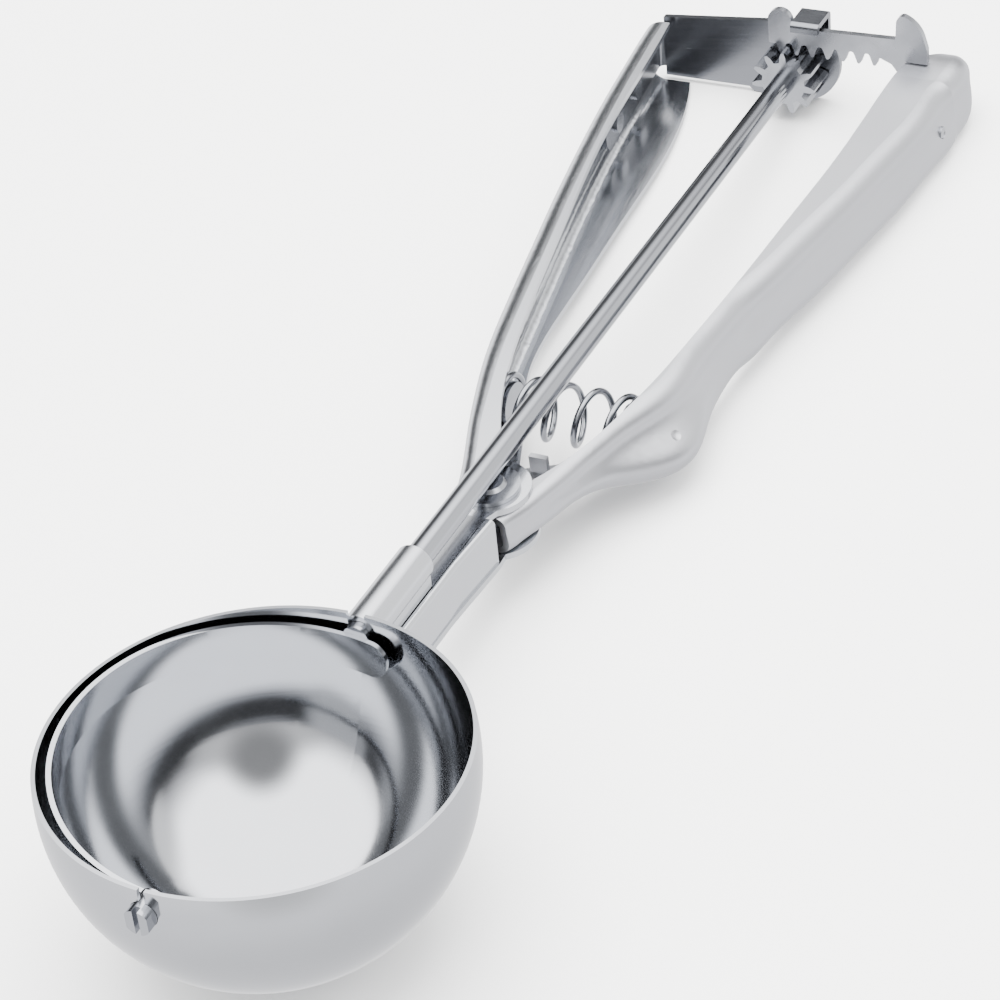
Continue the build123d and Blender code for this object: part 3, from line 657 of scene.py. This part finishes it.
class SCOOP_OT_stage(bpy.types.Operator):
    """Pale floor, soft lights, pale room and camera"""

    bl_idname = "scoop.stage"
    bl_label = "Studio"

    def execute(self, context):
        studio = context.scene.scoop_studio
        self.lay_floor(studio)
        self.light_room(context, studio)
        soft_light("overhead_softbox", studio.key_power, OVERHEAD_PLACE, OVERHEAD_WIDTH)
        soft_light("side_softbox", studio.side_power, SIDE_PLACE, SIDE_WIDTH)
        self.set_camera(context, studio)
        return {"FINISHED"}

    def lay_floor(self, studio):
        """Square floor of pale card, which isn't seen in the steel."""
        shape = bmesh.new()
        bmesh.ops.create_grid(shape, x_segments=1, y_segments=1, size=studio.floor_size / 2)
        mesh = bpy.data.meshes.new("floor")
        shape.to_mesh(mesh)
        shape.free()
        floor = bpy.data.objects.new("floor", mesh)
        bpy.context.scene.collection.objects.link(floor)
        # Matt card: even and soft, with a faint mottle of its fibres, drawn coarse so that it shows
        material, tree = new_material("matt_card")
        place = add(tree, "ShaderNodeTexCoord")
        fibres = add(
            tree,
            "ShaderNodeTexNoise",
            {"Vector": place.outputs["Object"], "Scale": 1 / CARD_FIBRES, "Detail": 2.0},
        )
        colour = tuple(studio.floor_colour)
        darker = tuple(c * CARD_MOTTLE for c in colour)
        tint = add(
            tree,
            "ShaderNodeMix",
            {"Factor": fibres.outputs["Fac"], "A": (*darker, 1.0), "B": (*colour, 1.0)},
            data_type="RGBA",
        )
        card = add(
            tree,
            "ShaderNodeBsdfPrincipled",
            {"Base Color": tint.outputs["Result"], "Roughness": 0.8},
        )
        add(tree, "ShaderNodeOutputMaterial", {"Surface": card.outputs["BSDF"]})
        mesh.materials.append(material)
        floor.visible_glossy = False

    def light_room(self, context, studio):
        """Pale room, shaded by height and hung with cards, so that the steel has shades to mirror."""
        world = bpy.data.worlds.new("pale_room")
        context.scene.world = world
        world.use_nodes = True
        tree = world.node_tree
        tree.nodes.clear()
        direction = add(tree, "ShaderNodeTexCoord")
        facing = add(
            tree,
            "ShaderNodeVectorMath",
            {0: direction.outputs["Generated"], 1: (0, 0, 1)},
            operation="DOT_PRODUCT",
        )
        share = add(
            tree,
            "ShaderNodeMapRange",
            {"Value": facing.outputs["Value"], "From Min": -1.0, "From Max": 1.0},
        )
        shades = add(tree, "ShaderNodeValToRGB", {"Fac": share.outputs["Result"]})
        ramp = shades.color_ramp
        ramp.interpolation = "EASE"
        # A new ramp has a stop at each end: the lower one goes, and the upper one is overhead
        ramp.elements.remove(ramp.elements[0])
        *lower, overhead = ROOM_SHADES
        self.shade_stop(ramp.elements[0], overhead[1])
        for height, value in lower:
            self.shade_stop(ramp.elements.new(height), value)
        colour = shades.outputs["Color"]
        for card in CARDS:
            colour = self.hang_card(tree, direction.outputs["Generated"], colour, *card)
        light = add(
            tree,
            "ShaderNodeBackground",
            {"Color": colour, "Strength": studio.sky_strength},
        )
        add(tree, "ShaderNodeOutputWorld", {"Surface": light.outputs["Background"]})

    def shade_stop(self, stop, value):
        """Give a stop of the room's shades its faintly blue grey."""
        stop.color = (value, value, value * ROOM_BLUE, 1.0)

    def hang_card(self, tree, direction, behind, way, middle, whole, value):
        """Round card with a soft rim before the room's shades; gives the mixed colour."""
        facing = add(
            tree,
            "ShaderNodeVectorMath",
            {0: direction, 1: Vector(way).normalized()},
            operation="DOT_PRODUCT",
        )
        cover = add(
            tree,
            "ShaderNodeMapRange",
            {
                "Value": facing.outputs["Value"],
                "From Min": math.cos(math.radians(whole)),
                "From Max": math.cos(math.radians(middle)),
            },
            interpolation_type="SMOOTHSTEP",
        )
        card = add(
            tree,
            "ShaderNodeMix",
            {"Factor": cover.outputs["Result"], "A": behind, "B": (value, value, value, 1.0)},
            data_type="RGBA",
        )
        return card.outputs["Result"]

    def set_camera(self, context, studio):
        """Camera at its place, aimed and rolled."""
        lens = bpy.data.cameras.new("camera")
        lens.sensor_width = SENSOR_WIDTH
        lens.lens = studio.camera_lens
        lens.clip_start = NEAREST_SEEN
        camera = bpy.data.objects.new("camera", lens)
        context.scene.collection.objects.link(camera)
        place = Vector(studio.camera_place)
        sight = Vector(studio.camera_aim) - place
        roll = Quaternion((0, 0, 1), studio.camera_roll)
        camera.location = place
        camera.rotation_euler = (sight.to_track_quat("-Z", "Y") @ roll).to_euler()
        context.scene.camera = camera


class SCOOP_PT_panel(bpy.types.Panel):
    """Lists the scoop's finishes and its studio"""

    bl_idname = "SCOOP_PT_panel"
    bl_label = "Ice Cream Scoop"
    bl_space_type = "VIEW_3D"
    bl_region_type = "UI"
    bl_category = "Scoop"

    def draw(self, context):
        layout = self.layout
        for settings in (context.scene.scoop_finishes, context.scene.scoop_studio):
            box = layout.box()
            for name in settings.__annotations__:
                box.prop(settings, name)
        for operator in OPERATORS:
            layout.operator(operator.bl_idname)


SETTINGS = (ScoopFinishes, ScoopStudio)
OPERATORS = (
    SCOOP_OT_bowl_finish,
    SCOOP_OT_frame_finish,
    SCOOP_OT_lever_finish,
    SCOOP_OT_drive_finish,
    SCOOP_OT_fastener_finish,
    SCOOP_OT_spring,
    SCOOP_OT_stage,
)


def register():
    for kind in (*SETTINGS, *OPERATORS, SCOOP_PT_panel):
        bpy.utils.register_class(kind)
    bpy.types.Scene.scoop_finishes = bpy.props.PointerProperty(type=ScoopFinishes)
    bpy.types.Scene.scoop_studio = bpy.props.PointerProperty(type=ScoopStudio)


def unregister():
    del bpy.types.Scene.scoop_studio
    del bpy.types.Scene.scoop_finishes
    for kind in reversed((*SETTINGS, *OPERATORS, SCOOP_PT_panel)):
        bpy.utils.unregister_class(kind)


def main():
    register()
    bpy.ops.scoop.bowl_finish()
    bpy.ops.scoop.frame_finish()
    bpy.ops.scoop.lever_finish()
    bpy.ops.scoop.drive_finish()
    bpy.ops.scoop.fastener_finish()
    bpy.ops.scoop.spring()
    bpy.ops.scoop.stage()


if __name__ == "__main__":
    main()
